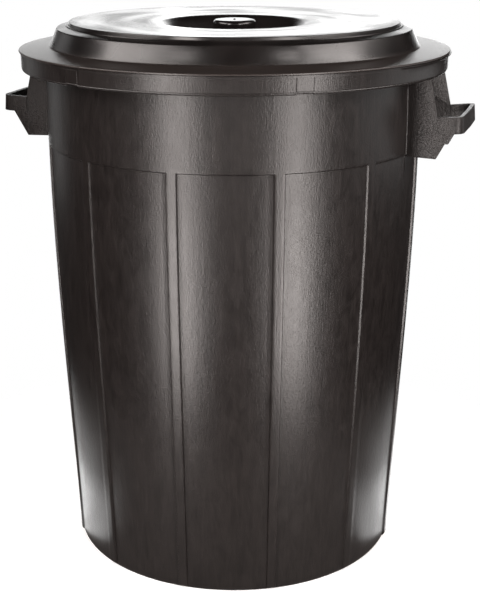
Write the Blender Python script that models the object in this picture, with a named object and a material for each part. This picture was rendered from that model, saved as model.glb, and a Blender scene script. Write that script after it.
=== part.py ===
"""Round 100-litre plastic dustbin with a lift-off lid.

The real object is two injection mouldings: the bin, with its rim and its two side handles,
and the lid, with its knob. The rim and the handles are modelled as nodes of their own, a
small clearance off the wall. Metres, +Z up, origin at the centre of the base, handles on X.
"""

import math

import bpy
import numpy as np

# ---- bin: wall ----
WALL_STATIONS = (
    (0.00, 0.2188),
    (0.15, 0.2264),
    (0.33, 0.2349),
    (0.50, 0.2409),
    (0.58, 0.2414),
    (0.66, 0.2393),
)
WALL_THICKNESS = 0.0026
PANEL_COUNT = 12
PANEL_DEPTH = 0.0025
PANEL_TOP_Z = 0.5472
PANEL_STEP_HEIGHT = 0.0020
RIB_HALF_ANGLE = math.radians(1.40)
RIB_FOOT_HALF_ANGLE = math.radians(1.75)
PANEL_SEGMENTS = 3
PANEL_LOWEST_Z = 0.09
PANEL_RINGS = 6
COLLAR_HEIGHTS = (0.585, 0.622)
MOUTH_EDGE = 0.0010

# ---- bin: base ----
BASE_CORNER_HEIGHT = 0.0070
BASE_CORNER_STEPS = (0.35, 0.70)
FOOT_OUTER_R = 0.2130
FOOT_INNER_R = 0.2010
FOOT_DRAFT = 0.0015
BASE_UNDERSIDE_Z = 0.0060
BASE_THICKNESS = 0.0030
INNER_CORNER_REACH = 0.0120
INNER_CORNER_STEP = 0.0035
INNER_HEIGHTS = (0.36, 0.18, 0.022)

# ---- bin: rim ----
RIM_TOP_Z = 0.6620
RIM_SHELF_THICKNESS = 0.0028
SKIRT_BOTTOM_Z = 0.6400
SKIRT_OUTER_R = 0.2714
SKIRT_THICKNESS = 0.0030
SKIRT_EDGE = 0.0009
THUMB_LEDGE_REACH = 0.0034
THUMB_LEDGE_HEIGHT = 0.0018
THUMB_LEDGE_EDGE = 0.0005
THUMB_LEDGE_HALF_ANGLE = math.radians(29.0)
THUMB_LEDGE_RUN_OUT = math.radians(6.0)

# ---- handles ----
HANDLE_REACH = 0.3040
HANDLE_CORNER_X = 0.3030
HANDLE_CHEEK_ANGLE = math.radians(11.1)
HANDLE_THICKNESS = 0.0032
HANDLE_CORNER_RADIUS = 0.0085
GRIP_FLARE = 0.0016
GRIP_TOP_Z = 0.5966
GRIP_BOTTOM_Z = 0.5764
GRIP_RISE = 0.0024
CHEEK_BOTTOM_Z = 0.5430
CHEEK_WALL_R_BOTTOM = 0.2424
CHEEK_WALL_R_TOP = 0.2410
CHEEK_RIM_X = 0.2620
CHEEK_RIM_STEP = 0.0010
CHEEK_ARM_X = 0.2722
GUSSET_TOP_X = 0.2900
RIM_TO_ARM_Z = 0.6380

# ---- lid ----
LID_SHELL = 0.0022
LID_TOP_Z = 0.6973
LID_TOP_R = 0.2100
STEP_FOOT_Z = 0.6931
SHOULDER_R = 0.2256
SHOULDER_Z = 0.6896
LID_WALL_FOOT_R = 0.2350
LID_WALL_FOOT_Z = 0.6672
FLANGE_R = 0.2734
FLANGE_EDGE_Z = 0.6646
FLANGE_EDGE_BOTTOM_Z = 0.6623
DISH_EDGE_R = 0.0905
DISH_EDGE_Z = 0.6948
DISH_FLOOR_R = 0.0720
DISH_FLOOR_Z = 0.6705
KNOB_R = 0.0280
KNOB_NECK_R = 0.0262
KNOB_NECK_Z = 0.6850
KNOB_TOP_Z = 0.6978
TURNED_EDGE = 0.0006
CENTRING_RING_R = 0.2334
CENTRING_RING_THICKNESS = 0.0024
CENTRING_RING_DRAFT = 0.0004
CENTRING_RING_BOTTOM_Z = 0.6525
GATE_PIP_R = 0.0020
GATE_PIP_HEIGHT = 0.0010

# ---- fillets of the lid ----
KNOB_FILLET = 0.0045
KNOB_ROOT_FILLET = 0.0040
DISH_LIP_FILLET = 0.0160
DISH_FLOOR_FILLET = 0.0080
TOP_FILLET = 0.0022
STEP_FILLET = 0.0012
SHOULDER_FILLET = 0.0025
WALL_FOOT_FILLET = 0.0035
FLANGE_FILLET = 0.0010

# ---- material ----
PLASTIC_COLOUR = (0.022, 0.021, 0.021, 1.0)
BIN_ROUGHNESS = 0.42
LID_ROUGHNESS = 0.30

# ---- meshing ----
SHARP_ANGLE = math.radians(30.0)
CLEARANCE = 0.0003
LID_SEGMENTS = 60
ARC_STEPS = 2


def clear_scene():
    for existing in list(bpy.data.objects):
        bpy.data.objects.remove(existing, do_unlink=True)


def plastic(name, roughness):
    """Black polypropylene."""
    material = bpy.data.materials.new(name)
    material.use_nodes = True
    shader = material.node_tree.nodes["Principled BSDF"]
    shader.inputs["Base Color"].default_value = PLASTIC_COLOUR
    shader.inputs["Roughness"].default_value = roughness
    shader.inputs["Metallic"].default_value = 0.0
    return material


def add_object(name, vertices, faces, material, location=(0.0, 0.0, 0.0)):
    """Makes an object from world coordinates, with its origin at location."""
    offset = np.array(location)
    mesh = bpy.data.meshes.new(name)
    mesh.from_pydata([tuple(np.array(v) - offset) for v in vertices], [], faces)
    mesh.materials.append(material)
    mesh.shade_smooth()
    mesh.set_sharp_from_angle(angle=SHARP_ANGLE)
    created = bpy.data.objects.new(name, mesh)
    created.location = location
    bpy.context.scene.collection.objects.link(created)
    return created


def rounded(corners):
    """Points of an outline given as (u, v, fillet radius) corners, each fillet an arc."""
    points = []
    for i, (u, v, radius) in enumerate(corners):
        here = np.array((u, v))
        if radius == 0.0 or i in (0, len(corners) - 1):
            points.append(here)
            continue
        back = np.array(corners[i - 1][:2]) - here
        ahead = np.array(corners[i + 1][:2]) - here
        back /= np.linalg.norm(back)
        ahead /= np.linalg.norm(ahead)
        half = 0.5 * math.acos(float(np.clip(back @ ahead, -1.0, 1.0)))
        tangent_length = radius / math.tan(half)
        middle = back + ahead
        centre = here + middle / np.linalg.norm(middle) * radius / math.sin(half)
        start = here + back * tangent_length - centre
        end = here + ahead * tangent_length - centre
        sweep = math.pi - 2.0 * half
        for k in range(ARC_STEPS + 1):
            t = k / ARC_STEPS
            a = math.sin((1.0 - t) * sweep) / math.sin(sweep)
            b = math.sin(t * sweep) / math.sin(sweep)
            points.append(centre + a * start + b * end)
    return points


def turned(name, rings, angles, material, location=(0.0, 0.0, 0.0), is_hoop=False):
    """Turned solid. Each ring is (radius at an angle, z), and they run up the outside.

    A radius of 0 makes a pole. A hoop has no poles: its last ring joins its first.
    """
    vertices = []
    ring_indices = []
    for radius_at, z in rings:
        radii = [radius_at(a) for a in angles]
        if max(radii) == 0.0:
            ring_indices.append([len(vertices)])
            vertices.append((0.0, 0.0, z))
            continue
        ring_indices.append(list(range(len(vertices), len(vertices) + len(angles))))
        vertices += [(r * math.cos(a), r * math.sin(a), z) for r, a in zip(radii, angles)]
    faces = []
    above = ring_indices[1:] + ring_indices[:1] if is_hoop else ring_indices[1:]
    for low, high in zip(ring_indices, above):
        for j in range(len(angles)):
            k = (j + 1) % len(angles)
            if len(low) == 1:
                faces.append((low[0], high[k], high[j]))
            elif len(high) == 1:
                faces.append((low[j], low[k], high[0]))
            else:
                faces.append((low[j], low[k], high[k], high[j]))
    return add_object(name, vertices, faces, material, location)


def constant(radius):
    return lambda angle: radius


# ---------------------------------------------------------------- bin

WALL_CURVE = np.polyfit([z for z, r in WALL_STATIONS], [r for z, r in WALL_STATIONS], 3)


def wall_radius(z):
    """Outer radius of the ribs and the collar: a slightly bellied taper."""
    return float(np.polyval(WALL_CURVE, z))


def bin_angles():
    """Angles round the bin, with vertices on each rib's edges and at its middle."""
    sector = 2.0 * math.pi / PANEL_COUNT
    panel = np.linspace(RIB_FOOT_HALF_ANGLE, sector - RIB_FOOT_HALF_ANGLE, PANEL_SEGMENTS + 1)
    within = [-RIB_HALF_ANGLE, 0.0, RIB_HALF_ANGLE, *panel]
    return [i * sector + a for i in range(PANEL_COUNT) for a in within]


def panel_share(angle):
    """0 on a rib and 1 on a panel."""
    sector = 2.0 * math.pi / PANEL_COUNT
    off_rib = abs((angle + sector / 2.0) % sector - sector / 2.0)
    slope = (off_rib - RIB_HALF_ANGLE) / (RIB_FOOT_HALF_ANGLE - RIB_HALF_ANGLE)
    return min(max(slope, 0.0), 1.0)


def panelled(radius):
    return lambda angle: radius - PANEL_DEPTH * panel_share(angle)


def ledge_reach(angle):
    """How far the thumb ledge over each handle stands out of the rim."""
    off_handle = abs((angle + math.pi / 2.0) % math.pi - math.pi / 2.0)
    share = (THUMB_LEDGE_HALF_ANGLE - off_handle) / THUMB_LEDGE_RUN_OUT
    return THUMB_LEDGE_REACH * min(max(share, 0.0), 1.0)


def ledged(radius):
    return lambda angle: radius + ledge_reach(angle)


def bin_rings():
    underside = [
        (constant(0.0), BASE_UNDERSIDE_Z),
        (constant(FOOT_INNER_R - FOOT_DRAFT), BASE_UNDERSIDE_Z),
        (constant(FOOT_INNER_R), 0.0),
        (constant(FOOT_OUTER_R), 0.0),
    ]
    corner = []
    corner_r = wall_radius(BASE_CORNER_HEIGHT) - PANEL_DEPTH
    for t in BASE_CORNER_STEPS:
        bow = corner_r - (corner_r - FOOT_OUTER_R) * (1.0 - math.sin(t * math.pi / 2.0))
        height = BASE_CORNER_HEIGHT * (1.0 - math.cos(t * math.pi / 2.0))
        corner.append((constant(bow), height))
    corner.append((panelled(wall_radius(BASE_CORNER_HEIGHT)), BASE_CORNER_HEIGHT))
    panels = [
        (panelled(wall_radius(z)), z)
        for z in np.linspace(PANEL_LOWEST_Z, PANEL_TOP_Z - PANEL_STEP_HEIGHT, PANEL_RINGS)
    ]
    collar = [
        (constant(wall_radius(z)), z)
        for z in (PANEL_TOP_Z, *COLLAR_HEIGHTS, RIM_TOP_Z - MOUTH_EDGE)
    ]
    mouth_r = wall_radius(RIM_TOP_Z) - WALL_THICKNESS
    mouth = [
        (constant(wall_radius(RIM_TOP_Z) - MOUTH_EDGE), RIM_TOP_Z),
        (constant(mouth_r + MOUTH_EDGE), RIM_TOP_Z),
        (constant(mouth_r), RIM_TOP_Z - MOUTH_EDGE),
    ]
    inner = [
        (constant(wall_radius(z) - WALL_THICKNESS), z)
        for z in (*reversed(COLLAR_HEIGHTS), PANEL_TOP_Z)
    ]
    panel_wall = PANEL_DEPTH + WALL_THICKNESS
    step_z = PANEL_TOP_Z - PANEL_STEP_HEIGHT
    inner += [(constant(wall_radius(z) - panel_wall), z) for z in (step_z, *INNER_HEIGHTS)]
    floor_z = BASE_UNDERSIDE_Z + BASE_THICKNESS
    inner_foot_r = wall_radius(0.0) - panel_wall
    floor = [
        (constant(inner_foot_r - INNER_CORNER_STEP), floor_z + INNER_CORNER_STEP),
        (constant(inner_foot_r - INNER_CORNER_REACH), floor_z),
        (constant(0.0), floor_z),
    ]
    return underside + corner + panels + collar + mouth + inner + floor


def rim_rings():
    """Section of the rim: a shelf out from the wall, a skirt down from it, a thumb ledge."""
    seat_r = wall_radius(RIM_TOP_Z) + CLEARANCE
    shelf_z = RIM_TOP_Z - RIM_SHELF_THICKNESS
    skirt_inner_r = SKIRT_OUTER_R - SKIRT_THICKNESS
    ledge_z = RIM_TOP_Z - THUMB_LEDGE_HEIGHT
    return [
        (constant(seat_r), shelf_z),
        (constant(skirt_inner_r), shelf_z),
        (constant(skirt_inner_r), SKIRT_BOTTOM_Z),
        (constant(SKIRT_OUTER_R - SKIRT_EDGE), SKIRT_BOTTOM_Z),
        (constant(SKIRT_OUTER_R), SKIRT_BOTTOM_Z + SKIRT_EDGE),
        (constant(SKIRT_OUTER_R), ledge_z - THUMB_LEDGE_EDGE),
        (ledged(SKIRT_OUTER_R), ledge_z),
        (ledged(SKIRT_OUTER_R), RIM_TOP_Z - THUMB_LEDGE_EDGE),
        (ledged(SKIRT_OUTER_R - THUMB_LEDGE_EDGE), RIM_TOP_Z),
        (constant(seat_r), RIM_TOP_Z),
    ]


def make_bin():
    angles = bin_angles()
    turned("bin_body", bin_rings(), angles, plastic("bin_plastic", BIN_ROUGHNESS))
    turned("bin_rim", rim_rings(), angles, plastic("rim_plastic", BIN_ROUGHNESS), is_hoop=True)


# ---------------------------------------------------------------- handles


def handle_outline(inset, wall_r):
    """Plan of the U from the wall, round the grip and back, moved inwards by inset."""
    slope = math.tan(HANDLE_CHEEK_ANGLE)
    shift = inset / math.cos(HANDLE_CHEEK_ANGLE)
    wall_x = wall_r * math.cos(HANDLE_CHEEK_ANGLE - math.asin(inset / wall_r))
    rim_x = CHEEK_RIM_X + CHEEK_RIM_STEP
    leg_x = [wall_x, CHEEK_RIM_X, rim_x, CHEEK_ARM_X, GUSSET_TOP_X]
    leg = [(x, -(x * slope - shift)) for x in leg_x]
    corner_x = HANDLE_CORNER_X - inset
    corner_y = HANDLE_CORNER_X * slope - shift
    turn = [
        (*leg[-1], 0.0),
        (corner_x, -corner_y, HANDLE_CORNER_RADIUS - inset),
        (HANDLE_REACH - inset, 0.0, 0.0),
    ]
    half = leg[:-1] + [tuple(p) for p in rounded(turn)]
    return half + [(x, -y) for x, y in reversed(half[:-1])]


def along_grip(x):
    """0 where the grip leaves the cheeks, 1 from its corners on."""
    return min(max((x - CHEEK_ARM_X) / (HANDLE_CORNER_X - CHEEK_ARM_X), 0.0), 1.0)


def cheek_top(x):
    """Upper edge: up inside the rim's channel, down the slope and out along the rising grip."""
    xs = (CHEEK_RIM_X, CHEEK_RIM_X + CHEEK_RIM_STEP, CHEEK_ARM_X, HANDLE_CORNER_X)
    channel_z = RIM_TOP_Z - RIM_SHELF_THICKNESS - CLEARANCE
    zs = (channel_z, RIM_TO_ARM_Z, GRIP_TOP_Z - GRIP_RISE, GRIP_TOP_Z)
    return float(np.interp(x, xs, zs))


def cheek_bottom(x):
    """Lower edge: level under the cheek, then up the gusset to the grip."""
    gusset_top_z = GRIP_BOTTOM_Z - GRIP_RISE * (1.0 - along_grip(GUSSET_TOP_X))
    xs = (CHEEK_ARM_X, GUSSET_TOP_X, HANDLE_CORNER_X)
    return float(np.interp(x, xs, (CHEEK_BOTTOM_Z, gusset_top_z, GRIP_BOTTOM_Z)))


def grip_flare(x):
    """How far the lower edge of the grip stands out past its upper edge."""
    return GRIP_FLARE * along_grip(x)


def make_handle(name, side):
    """One U-shaped lift handle. side is +1 on +X and -1 on -X."""
    last = len(handle_outline(0.0, CHEEK_WALL_R_TOP)) - 1
    vertices = []
    for inset, wall_r, edge, flare in (
        (0.0, CHEEK_WALL_R_BOTTOM, cheek_bottom, grip_flare),
        (0.0, CHEEK_WALL_R_TOP, cheek_top, constant(0.0)),
        (HANDLE_THICKNESS, CHEEK_WALL_R_TOP, cheek_top, constant(0.0)),
        (HANDLE_THICKNESS, CHEEK_WALL_R_BOTTOM, cheek_bottom, grip_flare),
    ):
        heights = [edge(x) for x, y in handle_outline(0.0, wall_r)]
        outline = handle_outline(inset, wall_r)
        vertices += [(side * (x + flare(x)), side * y, z) for (x, y), z in zip(outline, heights)]
    stations = last + 1
    faces = [tuple(edge * stations for edge in range(4))]
    for s in range(last):
        for c in range(4):
            a, b = c * stations + s, (c + 1) % 4 * stations + s
            faces.append((a, a + 1, b + 1, b))
    faces.append(tuple(edge * stations + last for edge in (3, 2, 1, 0)))
    return add_object(name, vertices, faces, plastic(name + "_plastic", BIN_ROUGHNESS))


# ---------------------------------------------------------------- lid


def lid_profile():
    """Section of the lid, from the knob's centre out over the top and back underneath."""
    shell = LID_SHELL
    top = [
        (0.0, KNOB_TOP_Z + GATE_PIP_HEIGHT, 0.0),
        (GATE_PIP_R * 0.5, KNOB_TOP_Z + GATE_PIP_HEIGHT, 0.0),
        (GATE_PIP_R, KNOB_TOP_Z, 0.0),
        (KNOB_R, KNOB_TOP_Z, KNOB_FILLET),
        (KNOB_NECK_R, KNOB_NECK_Z, 0.0),
        (KNOB_NECK_R + TURNED_EDGE, DISH_FLOOR_Z, KNOB_ROOT_FILLET),
        (DISH_FLOOR_R, DISH_FLOOR_Z, DISH_FLOOR_FILLET),
        (DISH_EDGE_R, DISH_EDGE_Z, DISH_LIP_FILLET),
        (LID_TOP_R, LID_TOP_Z, TOP_FILLET),
        (LID_TOP_R + TURNED_EDGE, STEP_FOOT_Z, STEP_FILLET),
        (SHOULDER_R, SHOULDER_Z, SHOULDER_FILLET),
        (LID_WALL_FOOT_R, LID_WALL_FOOT_Z, WALL_FOOT_FILLET),
        (FLANGE_R, FLANGE_EDGE_Z, FLANGE_FILLET),
    ]
    lean = 0.6 * shell
    ring_inner_r = CENTRING_RING_R - CENTRING_RING_THICKNESS
    underside = [
        (FLANGE_R, FLANGE_EDGE_BOTTOM_Z, 0.5 * FLANGE_FILLET),
        (CENTRING_RING_R, LID_WALL_FOOT_Z - shell, 0.0),
        (CENTRING_RING_R - CENTRING_RING_DRAFT, CENTRING_RING_BOTTOM_Z, 0.0),
        (ring_inner_r, CENTRING_RING_BOTTOM_Z, 0.0),
        (ring_inner_r - CENTRING_RING_DRAFT, LID_WALL_FOOT_Z - 0.5 * shell, 0.0),
        (SHOULDER_R - shell, SHOULDER_Z - shell, STEP_FILLET),
        (LID_TOP_R - shell, STEP_FOOT_Z - shell, 0.0),
        (LID_TOP_R - shell, LID_TOP_Z - shell, 0.0),
        (DISH_EDGE_R + lean, DISH_EDGE_Z - shell, DISH_LIP_FILLET - shell),
        (DISH_FLOOR_R + lean, DISH_FLOOR_Z - shell, DISH_FLOOR_FILLET + shell),
        (KNOB_NECK_R + TURNED_EDGE - shell, DISH_FLOOR_Z - shell, 0.0),
        (KNOB_NECK_R - shell, KNOB_NECK_Z, 0.0),
        (KNOB_R - shell, KNOB_TOP_Z - shell, KNOB_FILLET - shell),
        (0.0, KNOB_TOP_Z - shell, 0.0),
    ]
    return rounded(top + underside)


def make_lid():
    # The section runs from the top down over the outside, so it is taken in reverse.
    rings = [(constant(float(r)), float(z)) for r, z in reversed(lid_profile())]
    angles = [2.0 * math.pi * i / LID_SEGMENTS for i in range(LID_SEGMENTS)]
    seat = (0.0, 0.0, RIM_TOP_Z)
    return turned("lid", rings, angles, plastic("lid_plastic", LID_ROUGHNESS), seat)


def main():
    clear_scene()
    make_bin()
    make_handle("handle_right", 1)
    make_handle("handle_left", -1)
    make_lid()


main()
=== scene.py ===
"""Looks of the round plastic dustbin: fine moulded surfaces, black plastic and the studio."""

import math

import bpy
import numpy as np
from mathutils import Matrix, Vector


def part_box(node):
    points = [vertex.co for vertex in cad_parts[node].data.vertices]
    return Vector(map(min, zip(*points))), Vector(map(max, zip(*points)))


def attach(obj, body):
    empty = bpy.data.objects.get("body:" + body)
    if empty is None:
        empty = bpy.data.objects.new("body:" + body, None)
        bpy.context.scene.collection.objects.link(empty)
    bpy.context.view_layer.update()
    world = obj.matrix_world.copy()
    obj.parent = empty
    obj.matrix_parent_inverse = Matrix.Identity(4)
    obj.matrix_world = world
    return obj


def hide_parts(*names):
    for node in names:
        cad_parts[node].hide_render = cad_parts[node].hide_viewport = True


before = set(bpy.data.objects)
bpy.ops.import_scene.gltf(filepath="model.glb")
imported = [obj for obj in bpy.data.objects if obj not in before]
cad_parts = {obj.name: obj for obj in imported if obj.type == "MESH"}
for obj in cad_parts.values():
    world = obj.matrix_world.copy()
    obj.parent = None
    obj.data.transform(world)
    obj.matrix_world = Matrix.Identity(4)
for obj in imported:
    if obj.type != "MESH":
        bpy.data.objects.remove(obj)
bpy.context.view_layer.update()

# ---- places read from the parts in model.glb ----
RIM_LOW, RIM_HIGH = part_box("bin_rim")
LID_LOW, LID_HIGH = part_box("lid")
HANDLE_LOW, HANDLE_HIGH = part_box("handle_right")
RIM_TOP_Z = RIM_HIGH.z
SKIRT_BOTTOM_Z = RIM_LOW.z
SKIRT_R = RIM_HIGH.y
LEDGE_REACH = RIM_HIGH.x - RIM_HIGH.y
FLANGE_R = LID_HIGH.y
PIP_TOP_Z = LID_HIGH.z
RING_BOTTOM_Z = LID_LOW.z
GRIP_REACH = HANDLE_HIGH.x
CHEEK_BOTTOM_Z = HANDLE_LOW.z

# ---- bin wall (heights above the floor, radii from the axis) ----
WALL_STATIONS = (
    (0.00, 0.2188),
    (0.15, 0.2264),
    (0.33, 0.2349),
    (0.50, 0.2409),
    (0.58, 0.2414),
    (0.66, 0.2393),
)
WALL_CURVE = np.polyfit([z for z, r in WALL_STATIONS], [r for z, r in WALL_STATIONS], 3)
WALL_THICKNESS = 0.0026
PANEL_COUNT = 12
PANEL_DEPTH = 0.0024
PANEL_TOP_Z = 0.5472
PANEL_STEP_HEIGHT = 0.0018
COLLAR_TOP_Z = 0.6550
RIB_HALF = math.radians(1.38)
RIB_SLOPE = math.radians(0.34)
FOOT_R = 0.2130
FOOT_INNER_R = 0.2014
FOOT_WIDTH = 0.0060
BASE_CORNER = 0.0070
RIB_FOOT_START = 0.45
RIB_FOOT_RUN = 0.40
POLE_R = 0.0040
BASE_UNDERSIDE_Z = 0.0060
BASE_THICKNESS = 0.0030
INNER_CORNER_Z = 0.0240
INNER_CORNER_FILLET = 0.0100
INNER_CORNER_DRAFT = 0.0008
SHELF_THICKNESS = 0.0028
SKIRT_THICKNESS = 0.0030
SKIRT_DRAFT = 0.0004
# A bead and a groove along the skirt's lower edge, as (depth in from its face, height).
SKIRT_EDGE = (
    (0.0018, 0.0),
    (0.0010, 0.0005),
    (0.0004, 0.0013),
    (0.0002, 0.0020),
    (0.0006, 0.0025),
    (0.0006, 0.0029),
    (0.0, 0.0034),
    (0.0, 0.0080),
)

# ---- pads and ledges on the rim, raised lines on the wall ----
PAD_COUNT = 6
PAD_PHASE = math.radians(4.2)
PAD_HALF = math.radians(2.15)
PAD_EDGE = math.radians(0.055)
PAD_PROUD = 0.00030
PAD_BOTTOM_LIFT = 0.0011
WITNESS_ANGLE = math.radians(12.3)
WITNESS_HALF = math.radians(0.16)
WITNESS_PROUD = 0.0007
WITNESS_LOW_Z = 0.5270
WITNESS_HIGH_Z = 0.6330
WITNESS_FADE_LOW = 0.006
WITNESS_FADE_HIGH = 0.003
LEDGE_HALF = math.radians(29.0)
LEDGE_RUN_OUT = math.radians(7.0)
LEDGE_THICKNESS = 0.0018

# ---- handles ----
CHEEK_ANGLE = math.radians(11.1)
HANDLE_THICKNESS = 0.0032
GRIP_TOP_Z = 0.5966
GRIP_BOTTOM_Z = 0.5764
GRIP_RISE = 0.0024
CHEEK_RIM_X = 0.2622
CHEEK_ARM_X = 0.2722
GUSSET_TOP_X = 0.2900
GRIP_FLARE = 0.0016
GRIP_CORNER_X = 0.3030
GRIP_CORNER_RADIUS = 0.0085
GRIP_PROUD = 0.0014
GRIP_INNER_STEP = 0.0004
PLATE_INSET = 0.0010
PLATE_END_INSET = 0.0060
CHEEK_EMBED = 0.0012
HANDLE_EDGE_ROUND = 0.0008

# ---- lid ----
LID_SHELL = 0.0022
LID_TOP_R = 0.2100
SHOULDER_R = 0.2256
LID_WALL_FOOT_R = 0.2350
DISH_EDGE_R = 0.0905
DISH_FLOOR_R = 0.0720
DISH_LIP_DROP = 0.0030
DISH_DEPTH = 0.0273
DISH_LIP_FILLET = 0.0160
DISH_FLOOR_FILLET = 0.0080
TOP_DROP = 0.0005
STEP_HEIGHT = 0.0042
KNOB_R = 0.0280
KNOB_NECK_R = 0.0262
KNOB_NECK_DROP = 0.0128
SHOULDER_RISE = 0.0276
WALL_FOOT_RISE = 0.0052
FLANGE_RISE = 0.0026
FLANGE_LIFT = 0.0004
RING_R = 0.2334
RING_THICKNESS = 0.0024
PIP_R = 0.0021
PIP_HEIGHT = 0.0010
KNOB_TOP_Z = PIP_TOP_Z - PIP_HEIGHT
# The step round the top and the bead outside it, as (out from LID_TOP_R, up, fillet radius).
TOP_STEP_AND_BEAD = (
    (0.0006, 0.0, 0.0004),
    (0.0016, 0.0, 0.0003),
    (0.0022, 0.0006, 0.0005),
    (0.0034, 0.0005, 0.0005),
    (0.0042, -0.0008, 0.0006),
)

# ---- the photographer's view ----
VIEW_AZIMUTH = math.radians(17.6)
CAMERA_DISTANCE = 1.6585
CAMERA_HEIGHT = 0.851
CAMERA_PITCH = math.radians(17.69)
LENS_MM = 76.6
SENSOR_MM = 36.0
CAMERA_CLIP = (0.05, 50.0)
CAMERA_SHIFT_X = 0.0091

# ---- studio: heights, distances and sizes in metres, azimuths in degrees from the camera ----
WARM = (1.0, 0.93, 0.90)
WHITE = (1.0, 1.0, 1.0)
WAIST_Z = 0.45
# name, azimuth, distance, height, height aimed at, size, radiance, colour
SOFTBOXES = (
    ("strip_left", -29.0, 0.85, 0.63, 0.80, (0.22, 1.20), 9.8, WARM),
    ("foot_left", -29.0, 0.76, 0.17, 0.17, (0.15, 0.34), 4.5, WARM),
    ("strip_right", 31.0, 0.85, 0.63, 0.80, (0.22, 1.20), 9.8, WARM),
    ("foot_right", 31.0, 0.76, 0.17, 0.17, (0.15, 0.34), 4.5, WARM),
    ("crown_left", -66.0, 1.30, 1.19, 0.66, (0.80, 0.30), 9.5, WARM),
    ("crown_right", 64.0, 1.30, 1.19, 0.66, (0.80, 0.30), 9.5, WARM),
    ("high_left", -70.0, 1.50, 1.72, 0.66, (1.70, 0.50), 5.2, WARM),
    ("high_right", 74.0, 1.50, 1.72, 0.66, (1.70, 0.50), 5.2, WARM),
    ("fill_right", 92.0, 1.05, 0.52, 0.66, (0.95, 0.34), 0.8, WHITE),
    ("fill_front", 0.0, 1.95, 0.62, WAIST_Z, (0.80, 1.20), 0.75, WARM),
    ("edge_left", -128.0, 1.50, 0.60, WAIST_Z, (0.50, 0.90), 0.45, WHITE),
    ("backdrop_left", 193.0, 2.65, 1.05, WAIST_Z, (0.90, 1.10), 1.8, WHITE),
    ("backdrop_right", 172.0, 2.65, 1.05, WAIST_Z, (1.20, 1.10), 2.7, WHITE),
    ("back_left", -152.0, 1.00, 0.36, WAIST_Z, (0.22, 0.70), 2.6, WHITE),
    ("back_right", 150.0, 1.00, 0.36, WAIST_Z, (0.22, 0.70), 2.6, WHITE),
)
# name, azimuth, distance, size, radiance
GROUND_PANELS = (
    ("ground_behind", 180.0, 0.25, (0.95, 0.56), 0.8),
    ("ground_left", -103.0, 0.285, (0.13, 0.38), 2.0),
    ("ground_right", 103.0, 0.285, (0.13, 0.38), 2.0),
)
GROUND_PANEL_LIFT = 0.003
FLOOR_Z = -0.0004
FLOOR_R = 0.62
FLOOR_RINGS = 24
FLOOR_SEGMENTS = 96
FLOOR_GLOW = 0.36
FLOOR_FADE = (0.34, 0.60)
WORLD_GLOW = (0.016, 0.015, 0.015, 1.0)

# ---- plastics ----
BIN_DARK, BIN_LIGHT = (0.0058, 0.0046, 0.0043, 1.0), (0.0118, 0.0095, 0.0089, 1.0)
LID_DARK, LID_LIGHT = (0.0052, 0.0043, 0.0041, 1.0), (0.0110, 0.0092, 0.0088, 1.0)
FLANGE_BLACK = (0.0220, 0.0175, 0.0160, 1.0)
FLANGE_ROUGHNESS = 0.34
PLASTIC_IOR = 1.50
# Noise frequencies per metre along X, Y and Z.
STREAK_SCALE = (240.0, 240.0, 14.0)
MOTTLE_SCALE = (90.0, 90.0, 42.0)
RAIN_SCALE = (700.0, 700.0, 190.0)
# Lowest and highest roughness, strength and frequency of the pores, specular level. The left
# handle's copy is painted shade: its specular level is turned down so that it reflects less of
# the left softboxes.
WALL_FINISH = (0.30, 0.36, 0.25, 420.0, 0.50)
GRIP_FINISH = (0.36, 0.44, 1.30, 300.0, 0.42)
# Painted shade: the same plastic as the grip, with its reflection turned down for the left
# handle only.
SHADED_GRIP_FINISH = (0.38, 0.46, 1.30, 300.0, 0.12)

# ---- meshing ----
ARC_STEPS = 6
LID_SEGMENTS = 360
WALL_RINGS = 44
STEP_RINGS = 7
COLLAR_RINGS = 26
CLOSEST_ANGLES = math.radians(0.02)
LONGEST_GRIP_RUN = 0.008
LONGEST_LID_RUN = 0.009


# ---------------------------------------------------------------- shape helpers


def smooth(t):
    """0 below 0, 1 above 1, and an S-curve between."""
    t = np.clip(t, 0.0, 1.0)
    return t * t * (3.0 - 2.0 * t)


def off_nearest(angle, spacing, phase=0.0):
    """Distance from an angle to the nearest of equally spaced ones."""
    return np.abs((angle - phase + spacing / 2.0) % spacing - spacing / 2.0)


def rounded(corners, steps=ARC_STEPS):
    """Points of an outline given as (u, v, fillet radius) corners, each fillet an arc."""
    points = []
    for i, (u, v, radius) in enumerate(corners):
        here = np.array((u, v))
        if radius == 0.0 or i in (0, len(corners) - 1):
            points.append(here)
            continue
        back = np.array(corners[i - 1][:2]) - here
        ahead = np.array(corners[i + 1][:2]) - here
        back /= np.linalg.norm(back)
        ahead /= np.linalg.norm(ahead)
        half = 0.5 * math.acos(float(np.clip(back @ ahead, -1.0, 1.0)))
        middle = back + ahead
        centre = here + middle / np.linalg.norm(middle) * radius / math.sin(half)
        start = here + back * radius / math.tan(half) - centre
        end = here + ahead * radius / math.tan(half) - centre
        sweep = math.pi - 2.0 * half
        for t in np.linspace(0.0, 1.0, steps + 1):
            a = math.sin((1.0 - t) * sweep) / math.sin(sweep)
            b = math.sin(t * sweep) / math.sin(sweep)
            points.append(centre + a * start + b * end)
    return points


def divided(points, longest):
    """The same outline with its long runs cut up, so that shading stays even."""
    out = [np.array(points[0])]
    for here, there in zip(points, points[1:]):
        here, there = np.array(here), np.array(there)
        count = max(1, math.ceil(np.linalg.norm(there - here) / longest))
        out += [here + (there - here) * k / count for k in range(1, count + 1)]
    return out


def new_piece(name, vertices, faces, material, sharp=40.0):
    """A mesh object, shaded smooth except over edges sharper than the given degrees."""
    mesh = bpy.data.meshes.new(name)
    mesh.from_pydata([tuple(map(float, v)) for v in vertices], [], faces)
    mesh.materials.append(material)
    mesh.shade_smooth()
    mesh.set_sharp_from_angle(angle=math.radians(sharp))
    piece = bpy.data.objects.new(name, mesh)
    bpy.context.scene.collection.objects.link(piece)
    return piece


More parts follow.
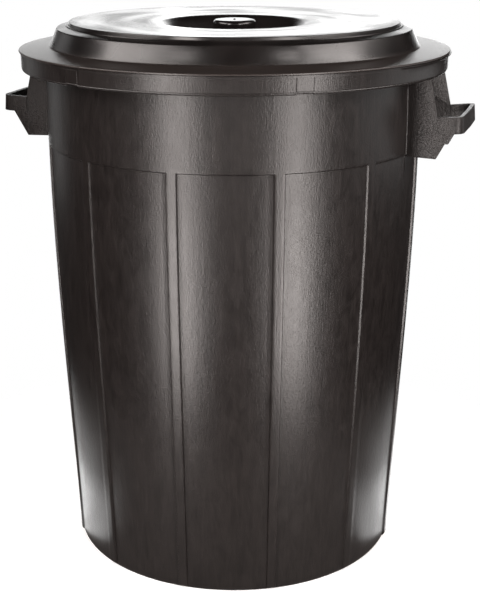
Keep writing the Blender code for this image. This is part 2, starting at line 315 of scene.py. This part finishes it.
def turned(name, rings, angles, material, sharp=40.0):
    """Turned solid between two poles. Each ring is (radii at the angles or 0, heights)."""
    count = len(angles)
    across, along = np.cos(angles), np.sin(angles)
    vertices = []
    starts = []
    for radii, heights in rings:
        starts.append(len(vertices))
        if np.isscalar(radii) and radii == 0.0:
            vertices.append((0.0, 0.0, float(heights)))
            continue
        radii = np.broadcast_to(radii, count)
        heights = np.broadcast_to(heights, count)
        vertices += list(zip(radii * across, radii * along, heights))
    starts.append(len(vertices))
    faces = []
    for i in range(len(rings) - 1):
        low, high = starts[i], starts[i + 1]
        low_is_pole = high - low == 1
        high_is_pole = starts[i + 2] - high == 1
        for j in range(count):
            k = (j + 1) % count
            if low_is_pole:
                faces.append((low, high + k, high + j))
            elif high_is_pole:
                faces.append((low + j, low + k, high))
            else:
                faces.append((low + j, low + k, high + k, high + j))
    return new_piece(name, vertices, faces, material, sharp)


# ---------------------------------------------------------------- materials


class Shader:
    """A Principled material built node by node."""

    def __init__(self, name):
        self.material = bpy.data.materials.new(name)
        self.material.use_nodes = True
        self.tree = self.material.node_tree
        self.surface = self.tree.nodes["Principled BSDF"]

    def node(self, kind, inputs=(), **settings):
        made = self.tree.nodes.new(kind)
        for key, value in settings.items():
            setattr(made, key, value)
        for socket, value in dict(inputs).items():
            if isinstance(value, bpy.types.NodeSocket):
                self.tree.links.new(value, made.inputs[socket])
            else:
                made.inputs[socket].default_value = value
        return made

    def place(self):
        return self.node("ShaderNodeTexCoord").outputs["Object"]

    def stretched(self, vector, scale):
        mapping = self.node("ShaderNodeMapping", {"Vector": vector, "Scale": scale})
        return mapping.outputs["Vector"]

    def noise(self, vector, scale, detail=3.0, roughness=0.5, distortion=0.0):
        inputs = {
            "Vector": vector,
            "Scale": scale,
            "Detail": detail,
            "Roughness": roughness,
            "Distortion": distortion,
        }
        return self.node("ShaderNodeTexNoise", inputs).outputs["Fac"]

    def levels(self, value, low, high, to_low, to_high):
        inputs = {"Value": value, 1: low, 2: high, 3: to_low, 4: to_high}
        return self.node("ShaderNodeMapRange", inputs).outputs["Result"]

    def mixed(self, share, first, second):
        inputs = {0: share, 6: first, 7: second}
        return self.node("ShaderNodeMix", inputs, data_type="RGBA").outputs[2]

    def blend(self, first, second):
        """The mean of two values."""
        return self.node("ShaderNodeMix", {0: 0.5, 2: first, 3: second}).outputs[0]

    def length(self, vector):
        measured = self.node("ShaderNodeVectorMath", {0: vector}, operation="LENGTH")
        return measured.outputs["Value"]

    def bump(self, height, distance, strength=1.0, under=None):
        inputs = {"Height": height, "Distance": distance, "Strength": strength}
        if under is not None:
            inputs["Normal"] = under
        return self.node("ShaderNodeBump", inputs).outputs["Normal"]

    def set(self, **inputs):
        for name, value in inputs.items():
            socket = self.surface.inputs[name.replace("_", " ")]
            if isinstance(value, bpy.types.NodeSocket):
                self.tree.links.new(value, socket)
            else:
                socket.default_value = value


def bin_plastic(name, smoothest, roughest, leather, pore_scale, shine):
    """Black polypropylene with flow streaks, a faint mottle and a fine rain-like grain.

    smoothest and roughest bound its roughness, leather and pore_scale say how strong and how
    fine its pores are, and shine is its specular level.
    """
    s = Shader(name)
    place = s.place()
    streaks = s.noise(s.stretched(place, STREAK_SCALE), 1.0, 4.0, 0.6)
    mottle = s.noise(s.stretched(place, MOTTLE_SCALE), 1.0, 4.0, 0.65, 0.8)
    rain = s.noise(s.stretched(place, RAIN_SCALE), 1.0, 2.0, 0.55)
    pores = s.noise(place, pore_scale, 3.0, 0.6, 0.4)
    blotch = s.levels(s.blend(streaks, mottle), 0.38, 0.64, 0.0, 1.0)
    s.set(Base_Color=s.mixed(blotch, BIN_DARK, BIN_LIGHT))
    s.set(Roughness=s.levels(mottle, 0.34, 0.66, smoothest, roughest))
    coarse = s.bump(mottle, 0.0006, 0.20)
    running = s.bump(streaks, 0.0003, 0.28, coarse)
    falling = s.bump(rain, 0.00030, 0.50, running)
    s.set(Normal=s.bump(pores, 0.0005, leather, falling))
    s.set(IOR=PLASTIC_IOR, Specular_IOR_Level=shine)
    return s.material


def lid_plastic():
    """Nearly the same black but glossier, with a duller flange and a top scuffed in rounds."""
    s = Shader("lid_plastic")
    place = s.place()
    cloud = s.noise(s.stretched(place, (16.0, 16.0, 30.0)), 1.0, 3.0, 0.55, 0.4)
    grain = s.noise(place, 700.0, 2.0, 0.5)
    across = s.node("ShaderNodeVectorMath", {0: place, 1: (1.0, 1.0, 0.0)}, operation="MULTIPLY")
    radius = s.length(across.outputs["Vector"])
    flange = s.levels(radius, LID_WALL_FOOT_R - 0.002, LID_WALL_FOOT_R + 0.002, 0.0, 1.0)
    outwards = s.node("ShaderNodeCombineXYZ", {"Z": radius}).outputs[0]
    rounds = s.stretched(outwards, (0.0, 0.0, 27.0))
    drift = s.stretched(place, (7.0, 7.0, 0.0))
    swirl = s.node("ShaderNodeVectorMath", {0: rounds, 1: drift}, operation="ADD")
    scuffs = s.noise(swirl.outputs["Vector"], 1.0, 2.0, 0.5, 0.2)
    black = s.mixed(s.levels(cloud, 0.35, 0.7, 0.0, 1.0), LID_DARK, LID_LIGHT)
    s.set(Base_Color=s.mixed(flange, black, FLANGE_BLACK))
    polished = s.levels(scuffs, 0.38, 0.66, 0.16, 0.34)
    mixed = s.node("ShaderNodeMix", {0: flange, 2: polished, 3: FLANGE_ROUGHNESS})
    s.set(Roughness=mixed.outputs[0])
    waves = s.bump(cloud, 0.0012, 0.15)
    s.set(Normal=s.bump(grain, 0.00012, s.levels(flange, 0.0, 1.0, 0.25, 0.9), waves))
    s.set(IOR=PLASTIC_IOR)
    return s.material


def floor_paint():
    """Pale matt board that fades into the white around it, mirrored as a dimmer one."""
    s = Shader("floor_pale")
    place = s.place()
    fibre = s.noise(place, 260.0, 3.0, 0.6)
    s.set(Base_Color=s.mixed(fibre, (0.84, 0.84, 0.84, 1.0), (0.90, 0.90, 0.90, 1.0)))
    s.set(Roughness=0.7, Emission_Color=(1.0, 1.0, 1.0, 1.0), Emission_Strength=FLOOR_GLOW)
    clear = s.node("ShaderNodeBsdfTransparent")
    fading = s.node("ShaderNodeMixShader", {0: s.levels(s.length(place), *FLOOR_FADE, 0.0, 1.0)})
    dim = s.node("ShaderNodeBsdfDiffuse", {"Color": (0.22, 0.21, 0.205, 1.0)})
    path = s.node("ShaderNodeLightPath")
    seen = s.node("ShaderNodeMixShader", {0: path.outputs["Is Camera Ray"], 1: dim.outputs[0]})
    s.tree.links.new(s.surface.outputs[0], fading.inputs[1])
    s.tree.links.new(clear.outputs[0], fading.inputs[2])
    s.tree.links.new(fading.outputs[0], seen.inputs[2])
    s.tree.links.new(seen.outputs[0], s.tree.nodes["Material Output"].inputs["Surface"])
    return s.material


# ---------------------------------------------------------------- bin


def wall_radius(z):
    """Radius of the wall's outer face on the ribs and the collar."""
    return np.polyval(WALL_CURVE, z)


def bin_angles():
    """Angles round the bin, close together at the edges of ribs, pads and lines."""
    sector = 2.0 * math.pi / PANEL_COUNT
    rib_edge = np.linspace(RIB_HALF - 0.15 * RIB_SLOPE, RIB_HALF + 1.15 * RIB_SLOPE, 6)
    panel = np.linspace(rib_edge[-1], sector - rib_edge[-1], 18)
    near = [0.0, *rib_edge, *panel[1:-1], *(sector - rib_edge)]
    angles = [i * sector + a for i in range(PANEL_COUNT) for a in near]
    angles += [i * sector - RIB_HALF * 0.5 for i in range(PANEL_COUNT)]
    angles += [i * sector + RIB_HALF * 0.5 for i in range(PANEL_COUNT)]
    for i in range(PAD_COUNT):
        centre = PAD_PHASE + i * 2.0 * math.pi / PAD_COUNT
        for edge in (-PAD_HALF, PAD_HALF):
            angles += [centre + edge + d * PAD_EDGE for d in (-3.0, -1.0, 0.0, 1.0, 3.0)]
    for side in (0.0, math.pi):
        for line in (-WITNESS_ANGLE, WITNESS_ANGLE):
            angles += [side + line + d * WITNESS_HALF for d in (-1.0, -0.5, 0.0, 0.5, 1.0)]
    angles = np.sort(np.mod(angles, 2.0 * math.pi))
    apart = np.diff(np.append(angles, angles[0] + 2.0 * math.pi))
    return angles[apart > CLOSEST_ANGLES]


def panel_share(angles, z):
    """0 on ribs and collar, 1 on the panels."""
    off_rib = off_nearest(angles, 2.0 * math.pi / PANEL_COUNT)
    across = smooth((off_rib - RIB_HALF) / RIB_SLOPE)
    up = smooth((PANEL_TOP_Z - z) / PANEL_STEP_HEIGHT)
    return across * up


def witness_height(angles, z):
    """The thin raised line that stands beside each cheek."""
    off_line = np.abs(off_nearest(angles, math.pi) - WITNESS_ANGLE)
    across = smooth(1.0 - off_line / WITNESS_HALF)
    low_end = smooth((z - WITNESS_LOW_Z) / WITNESS_FADE_LOW)
    high_end = smooth((WITNESS_HIGH_Z - z) / WITNESS_FADE_HIGH)
    return WITNESS_PROUD * across * low_end * high_end


def pad_share(angles):
    """1 on the raised pads of the skirt, 0 between them."""
    off_pad = off_nearest(angles, 2.0 * math.pi / PAD_COUNT, PAD_PHASE)
    return smooth((PAD_HALF + PAD_EDGE - off_pad) / (2.0 * PAD_EDGE))


def ledge_share(angles):
    """1 over the handles, where the thumb ledge stands out, and 0 away from them."""
    off_handle = off_nearest(angles, math.pi)
    return smooth((LEDGE_HALF - off_handle) / LEDGE_RUN_OUT)


def outer_wall(angles, z):
    """Radii of the wall's outer face at one height, with panels and raised lines."""
    return wall_radius(z) - PANEL_DEPTH * panel_share(angles, z) + witness_height(angles, z)


def bin_rings(angles):
    """The whole moulding: out under the base, up the wall, round the rim and down inside."""
    rings = [
        (0.0, BASE_UNDERSIDE_Z),
        (POLE_R, BASE_UNDERSIDE_Z),
        (FOOT_INNER_R - 0.0064, BASE_UNDERSIDE_Z),
        (FOOT_INNER_R - 0.0029, BASE_UNDERSIDE_Z - 0.0006),
        (FOOT_INNER_R - 0.0008, 0.0008),
        (FOOT_INNER_R, 0.0),
        (FOOT_R - FOOT_WIDTH, 0.0),
        (FOOT_R, 0.0),
    ]
    corner_r = wall_radius(BASE_CORNER) - PANEL_DEPTH
    on_rib = 1.0 - panel_share(angles, BASE_CORNER)
    for t in np.linspace(0.12, 1.0, 7):
        bow = FOOT_R + (corner_r - FOOT_R) * math.sin(t * math.pi / 2.0)
        height = BASE_CORNER * (1.0 - math.cos(t * math.pi / 2.0))
        rib = PANEL_DEPTH * on_rib * smooth((t - RIB_FOOT_START) / RIB_FOOT_RUN)
        rings.append((bow + rib, height))
    heights = [*np.linspace(0.012, PANEL_TOP_Z - 0.004, WALL_RINGS)]
    heights += [*np.linspace(PANEL_TOP_Z - 0.0020, PANEL_TOP_Z + 0.0002, STEP_RINGS)]
    heights += [*np.linspace(PANEL_TOP_Z + 0.003, COLLAR_TOP_Z, COLLAR_RINGS)]
    rings += [(outer_wall(angles, z), z) for z in heights]
    return rings + rim_rings(angles) + inner_rings()


def rim_rings(angles):
    """Out along the shelf, down inside the skirt, up its outside and back over the top."""
    shelf_z = RIM_TOP_Z - SHELF_THICKNESS
    wall_r = float(wall_radius(shelf_z))
    skirt_in = SKIRT_R - SKIRT_THICKNESS
    pads = pad_share(angles)
    bottom = SKIRT_BOTTOM_Z + PAD_BOTTOM_LIFT * pads
    skin = SKIRT_R - SKIRT_DRAFT + PAD_PROUD * pads
    ledge = LEDGE_REACH * ledge_share(angles)
    under = RIM_TOP_Z - LEDGE_THICKNESS
    mouth_r = float(wall_radius(RIM_TOP_Z)) - WALL_THICKNESS
    section = [
        (wall_r + 0.0006, shelf_z - 0.0014),
        (wall_r + 0.0020, shelf_z),
        (skirt_in - 0.0016, shelf_z),
        (skirt_in - 0.0004, shelf_z - 0.0006),
        (skirt_in, shelf_z - 0.0020),
        (skirt_in, bottom + 0.0040),
        (skirt_in, bottom + 0.0003),
        (skirt_in + 0.0003, bottom),
    ]
    section += [(skin - depth, bottom + height) for depth, height in SKIRT_EDGE]
    section += [
        (skin + 0.5 * SKIRT_DRAFT, under - 0.0020),
        (SKIRT_R + 0.12 * ledge, under - 0.0008),
        (SKIRT_R - 0.0002 + 0.80 * ledge, under - 0.0002),
        (SKIRT_R - 0.0001 + 0.96 * ledge, under + 0.0003),
        (SKIRT_R + ledge, under + 0.0009),
        (SKIRT_R - 0.0001 + 0.97 * ledge, RIM_TOP_Z - 0.0003),
        (SKIRT_R - 0.0005 + 0.85 * ledge, RIM_TOP_Z),
        (SKIRT_R - 0.0050, RIM_TOP_Z),
        (mouth_r + 0.0040, RIM_TOP_Z),
        (mouth_r + 0.0014, RIM_TOP_Z),
        (mouth_r + 0.0004, RIM_TOP_Z - 0.0004),
        (mouth_r, RIM_TOP_Z - 0.0014),
    ]
    return section


def inner_rings():
    """Down the inside: a step under the collar, then a plain taper to the floor."""
    above = np.linspace(COLLAR_TOP_Z, PANEL_TOP_Z + 0.002, 8)
    below = np.linspace(PANEL_TOP_Z - 0.002, 0.030, 24)
    panel_wall = WALL_THICKNESS + PANEL_DEPTH
    rings = [(wall_radius(z) - WALL_THICKNESS, z) for z in above]
    rings += [(wall_radius(z) - panel_wall, z) for z in below]
    floor_z = BASE_UNDERSIDE_Z + BASE_THICKNESS
    wall_in = float(wall_radius(0.02)) - panel_wall
    corner = [
        (wall_in, INNER_CORNER_Z, 0.0),
        (wall_in - INNER_CORNER_DRAFT, floor_z, INNER_CORNER_FILLET),
        (0.17, floor_z, 0.0),
    ]
    rings += [(float(r), float(z)) for r, z in rounded(corner)]
    return rings + [(0.09, floor_z), (POLE_R, floor_z), (0.0, floor_z)]


def make_bin(material):
    """The bin without its handles, from the foot to the rim, as one closed surface."""
    angles = bin_angles()
    moulding = turned("bin_moulding", bin_rings(angles), angles, material)
    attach(moulding, "bin")
    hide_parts("bin_body", "bin_rim")


# ---------------------------------------------------------------- handles


def prism(outline, thickness_points):
    """Vertices and faces of a flat plate: the outline at two offsets."""
    near, far = thickness_points
    count = len(outline)
    vertices = [near(u, v) for u, v in outline] + [far(u, v) for u, v in outline]
    faces = [tuple(range(count)), tuple(reversed(range(count, 2 * count)))]
    faces += [(i, i + count, (i + 1) % count + count, (i + 1) % count) for i in range(count)]
    return vertices, faces


def cheek_outline():
    """The cheek seen from the side: x out from the bin's axis, z up."""
    shelf_z = RIM_TOP_Z - 0.5 * SHELF_THICKNESS
    inside_x = GRIP_CORNER_X - PLATE_END_INSET
    low_z = GRIP_BOTTOM_Z + PLATE_INSET
    high_z = GRIP_TOP_Z - PLATE_INSET
    wall = [
        ((float(wall_radius(z)) - CHEEK_EMBED) * math.cos(CHEEK_ANGLE), z)
        for z in np.linspace(shelf_z, CHEEK_BOTTOM_Z, 9)
    ]
    edge = [
        (*wall[-1], 0.0),
        (CHEEK_ARM_X, CHEEK_BOTTOM_Z, 0.0012),
        (GUSSET_TOP_X, low_z - grip_dip(GUSSET_TOP_X), 0.0),
        (inside_x, low_z, 0.0),
        (inside_x, high_z - grip_dip(inside_x), 0.0),
        (CHEEK_ARM_X + 0.0004, high_z - GRIP_RISE, 0.0015),
        (CHEEK_RIM_X + 0.0006, SKIRT_BOTTOM_Z - 0.002, 0.0),
        (CHEEK_RIM_X, SKIRT_BOTTOM_Z + 0.002, 0.0),
        (CHEEK_RIM_X, shelf_z, 0.0),
    ]
    return wall[:-1] + [tuple(map(float, p)) for p in rounded(edge)]


def plate_point(side, depth):
    """Maps the cheek's outline onto its splayed plane, depth inwards from the grip's face."""
    slope = math.tan(CHEEK_ANGLE)
    shift = depth / math.cos(CHEEK_ANGLE)
    return lambda x, z: (x, side * (x * slope - shift), z)


def grip_outline(inset):
    """Plan of the U-shaped grip strip, moved inwards by inset."""
    slope = math.tan(CHEEK_ANGLE)
    shift = inset / math.cos(CHEEK_ANGLE)
    start_x = CHEEK_ARM_X - 0.0002
    corners = [
        (start_x, -(start_x * slope - shift), 0.0),
        (GRIP_CORNER_X - inset, -(GRIP_CORNER_X * slope - shift), GRIP_CORNER_RADIUS - inset),
        (GRIP_REACH - GRIP_FLARE - inset, 0.0, 0.0),
    ]
    half = divided(rounded(corners), LONGEST_GRIP_RUN)
    return half + [np.array((x, -y)) for x, y in reversed(half[:-1])]


def along_grip(x):
    """0 where the grip leaves the cheeks, 1 from its corners on."""
    return float(np.clip((x - CHEEK_ARM_X) / (GRIP_CORNER_X - CHEEK_ARM_X), 0.0, 1.0))


def grip_flare(x):
    """How far the lower edge of the grip stands out past its upper edge."""
    return GRIP_FLARE * along_grip(x)


def grip_dip(x):
    """How far the grip still lies below the height of its corners."""
    return GRIP_RISE * (1.0 - along_grip(x))


def grip_strip():
    """The U-shaped grip: a strip with a rectangular section, closed at both ends."""
    outer = grip_outline(0.0)
    inner = grip_outline(HANDLE_THICKNESS + GRIP_PROUD + GRIP_INNER_STEP)
    count = len(outer)
    vertices = [(x + grip_flare(x), y, GRIP_BOTTOM_Z - grip_dip(x)) for x, y in outer]
    vertices += [(x, y, GRIP_TOP_Z - grip_dip(x)) for x, y in outer]
    vertices += [(x, y, GRIP_TOP_Z - grip_dip(x)) for x, y in inner]
    vertices += [(x + grip_flare(x), y, GRIP_BOTTOM_Z - grip_dip(x)) for x, y in inner]
    faces = [tuple(k * count for k in range(4))]
    for i in range(count - 1):
        for k in range(4):
            a, b = k * count + i, (k + 1) % 4 * count + i
            faces.append((a, a + 1, b + 1, b))
    faces.append(tuple(k * count + count - 1 for k in (3, 2, 1, 0)))
    return vertices, faces


def united(name, shapes, material):
    """One closed mesh from overlapping shapes, with its edges rounded."""
    objects = [new_piece(f"{name}_{i}", v, f, material) for i, (v, f) in enumerate(shapes)]
    base = objects[0]
    for other in objects[1:]:
        union = base.modifiers.new("union", "BOOLEAN")
        union.operation = "UNION"
        union.object = other
    edges = base.modifiers.new("edges", "BEVEL")
    edges.width = HANDLE_EDGE_ROUND
    edges.segments = 3
    edges.limit_method = "ANGLE"
    edges.angle_limit = math.radians(35.0)
    edges.use_clamp_overlap = True
    evaluated = base.evaluated_get(bpy.context.evaluated_depsgraph_get())
    mesh = bpy.data.meshes.new_from_object(evaluated)
    for piece in objects:
        bpy.data.objects.remove(piece, do_unlink=True)
    mesh.name = name
    mesh.shade_smooth()
    mesh.set_sharp_from_angle(angle=math.radians(50.0))
    made = bpy.data.objects.new(name, mesh)
    bpy.context.scene.collection.objects.link(made)
    return made


def flipped(shape):
    """The same shape with its faces turned the other way round."""
    vertices, faces = shape
    return vertices, [tuple(reversed(f)) for f in faces]


def half_turned(shape):
    """The same shape turned by 180 degrees round the bin's axis."""
    vertices, faces = shape
    return [(-x, -y, z) for x, y, z in vertices], faces


def make_handle(name, node, material, is_left):
    """One handle: the grip with a cheek and gusset on each side."""
    outline = cheek_outline()
    depths = (GRIP_PROUD, GRIP_PROUD + HANDLE_THICKNESS)
    back = prism(outline, [plate_point(1, d) for d in depths])
    front = prism(outline, [plate_point(-1, d) for d in depths])
    shapes = [grip_strip(), back, flipped(front)]
    if is_left:
        shapes = [half_turned(shape) for shape in shapes]
    handle = united(name, shapes, material)
    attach(handle, "bin")
    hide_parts(node)


# ---------------------------------------------------------------- lid


def lid_section():
    """The lid's section, from the knob's centre out over the top and back underneath."""
    shell = LID_SHELL
    seat = RIM_TOP_Z
    neck_z = KNOB_TOP_Z - KNOB_NECK_DROP
    dish_z = KNOB_TOP_Z - DISH_DEPTH
    lip_z = KNOB_TOP_Z - DISH_LIP_DROP
    top_z = KNOB_TOP_Z - TOP_DROP
    step_z = top_z - STEP_HEIGHT
    shoulder_z = seat + SHOULDER_RISE
    foot_z = seat + WALL_FOOT_RISE
    edge_z = seat + FLANGE_RISE
    top = [
        (0.0, PIP_TOP_Z - 0.0001, 0.0),
        (PIP_R * 0.45, PIP_TOP_Z - 0.0001, 0.0),
        (PIP_R * 0.75, KNOB_TOP_Z + 0.0003, 0.0),
        (PIP_R, KNOB_TOP_Z - 0.0002, 0.0),
        (PIP_R + 0.0015, KNOB_TOP_Z - 0.0001, 0.0),
        (KNOB_R, KNOB_TOP_Z - 0.0002, 0.0045),
        (KNOB_NECK_R, neck_z, 0.0120),
        (KNOB_NECK_R + 0.0008, dish_z, 0.0040),
        (DISH_FLOOR_R, dish_z, DISH_FLOOR_FILLET),
        (DISH_EDGE_R, lip_z, DISH_LIP_FILLET),
        (LID_TOP_R, top_z, 0.0012),
        *((LID_TOP_R + out, step_z + up, fillet) for out, up, fillet in TOP_STEP_AND_BEAD),
        (SHOULDER_R, shoulder_z, 0.0026),
        (LID_WALL_FOOT_R, foot_z, 0.0036),
        (FLANGE_R, edge_z, 0.0011),
        (FLANGE_R, seat + FLANGE_LIFT, 0.0005),
    ]
    ring_in = RING_R - RING_THICKNESS
    under = [
        (RING_R, foot_z - shell, 0.0008),
        (RING_R - 0.0003, RING_BOTTOM_Z, 0.0005),
        (ring_in, RING_BOTTOM_Z, 0.0005),
        (ring_in - 0.0004, foot_z - 0.5 * shell, 0.0),
        (SHOULDER_R - 0.0021, shoulder_z - shell, 0.0015),
        (LID_TOP_R - shell, step_z - shell, 0.0008),
        (LID_TOP_R - shell, top_z - shell, 0.0008),
        (DISH_EDGE_R + 0.0013, lip_z - shell, DISH_LIP_FILLET - shell),
        (DISH_FLOOR_R + 0.0013, dish_z - shell, DISH_FLOOR_FILLET + shell),
        (KNOB_NECK_R + 0.0008 - shell, dish_z - shell, 0.0008),
        (KNOB_NECK_R - shell, neck_z, 0.0),
        (KNOB_R - shell, KNOB_TOP_Z - shell, 0.0020),
        (0.0, KNOB_TOP_Z - shell, 0.0),
    ]
    return divided(rounded(top + under), LONGEST_LID_RUN)


def make_lid(material):
    """The lid, turned from its section."""
    # The section starts on top, so it is taken in reverse to run up the outside.
    rings = [(float(r), float(z)) for r, z in reversed(lid_section())]
    angles = np.arange(LID_SEGMENTS) * 2.0 * math.pi / LID_SEGMENTS
    lid = turned("lid_moulding", rings, angles, material, 60.0)
    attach(lid, "lid")
    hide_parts("lid")


# ---------------------------------------------------------------- studio


def from_view(azimuth_deg, distance, height):
    """A point at an azimuth counted from the camera, to its right, round the bin's axis."""
    angle = VIEW_AZIMUTH - math.pi / 2.0 + math.radians(azimuth_deg)
    return Vector((distance * math.cos(angle), distance * math.sin(angle), height))


def make_camera():
    """The photographer's view, from the height, pitch and lens worked out from the outlines."""
    data = bpy.data.cameras.new("camera")
    data.lens = LENS_MM
    data.sensor_width = SENSOR_MM
    data.shift_x = CAMERA_SHIFT_X
    data.clip_start, data.clip_end = CAMERA_CLIP
    camera = bpy.data.objects.new("camera", data)
    camera.location = from_view(0.0, CAMERA_DISTANCE, CAMERA_HEIGHT)
    camera.rotation_euler = (math.pi / 2.0 - CAMERA_PITCH, 0.0, VIEW_AZIMUTH)
    bpy.context.scene.collection.objects.link(camera)
    bpy.context.scene.camera = camera


def softbox(name, place, aim, size, radiance, colour):
    """A rectangular area light of a given radiance that the camera doesn't see."""
    data = bpy.data.lights.new(name, "AREA")
    data.shape = "RECTANGLE"
    data.size, data.size_y = size
    data.energy = radiance * math.pi * size[0] * size[1]
    data.color = colour
    light = bpy.data.objects.new(name, data)
    light.location = place
    light.rotation_euler = (aim - place).to_track_quat("-Z", "Y").to_euler()
    light.visible_camera = False
    bpy.context.scene.collection.objects.link(light)
    return light


def make_lights():
    """Softboxes round the bin, and panels on the ground that shine upwards."""
    for name, azimuth, distance, height, aim_z, size, radiance, colour in SOFTBOXES:
        place = from_view(azimuth, distance, height)
        softbox(name, place, Vector((0.0, 0.0, aim_z)), size, radiance, colour)
    for name, azimuth, distance, size, radiance in GROUND_PANELS:
        place = from_view(azimuth, distance, GROUND_PANEL_LIFT)
        panel = softbox(name, place, place + Vector((0.0, 0.0, 1.0)), size, radiance, WHITE)
        # Aimed straight up, a light has no turn of its own, so it gets the camera's.
        panel.rotation_euler = (math.pi, 0.0, VIEW_AZIMUTH)


def make_world():
    """White for the camera, dim for everything that the plastic mirrors."""
    world = bpy.data.worlds.new("studio")
    world.use_nodes = True
    bpy.context.scene.world = world
    nodes, links = world.node_tree.nodes, world.node_tree.links
    seen = nodes.new("ShaderNodeBackground")
    seen.inputs["Color"].default_value = (1.0, 1.0, 1.0, 1.0)
    mirrored = nodes["Background"]
    mirrored.inputs["Color"].default_value = WORLD_GLOW
    path = nodes.new("ShaderNodeLightPath")
    mix = nodes.new("ShaderNodeMixShader")
    links.new(path.outputs["Is Camera Ray"], mix.inputs["Fac"])
    links.new(mirrored.outputs["Background"], mix.inputs[1])
    links.new(seen.outputs["Background"], mix.inputs[2])
    links.new(mix.outputs["Shader"], nodes["World Output"].inputs["Surface"])


def make_floor():
    """A round pale board under the bin."""
    count = FLOOR_SEGMENTS
    vertices = [(0.0, 0.0, FLOOR_Z)]
    for i in range(1, FLOOR_RINGS + 1):
        r = FLOOR_R * i / FLOOR_RINGS
        vertices += [
            (r * math.cos(a), r * math.sin(a), FLOOR_Z)
            for a in np.arange(count) * 2.0 * math.pi / count
        ]
    faces = [(0, 1 + j, 1 + (j + 1) % count) for j in range(count)]
    for i in range(FLOOR_RINGS - 1):
        low, high = 1 + i * count, 1 + (i + 1) * count
        faces += [
            (low + j, high + j, high + (j + 1) % count, low + (j + 1) % count)
            for j in range(count)
        ]
    floor = new_piece("floor", vertices, faces, floor_paint())


def main():
    make_camera()
    make_bin(bin_plastic("bin_plastic", *WALL_FINISH))
    grained = bin_plastic("handle_plastic", *GRIP_FINISH)
    # Painted shade: a copy of the handle plastic with less shine, for the left handle only.
    shaded_grip = bin_plastic("handle_plastic_shaded", *SHADED_GRIP_FINISH)
    make_handle("handle_right_moulding", "handle_right", grained, False)
    make_handle("handle_left_moulding", "handle_left", shaded_grip, True)
    make_lid(lid_plastic())
    make_floor()
    make_lights()
    make_world()
    bpy.context.scene.view_settings.view_transform = "Standard"


main()
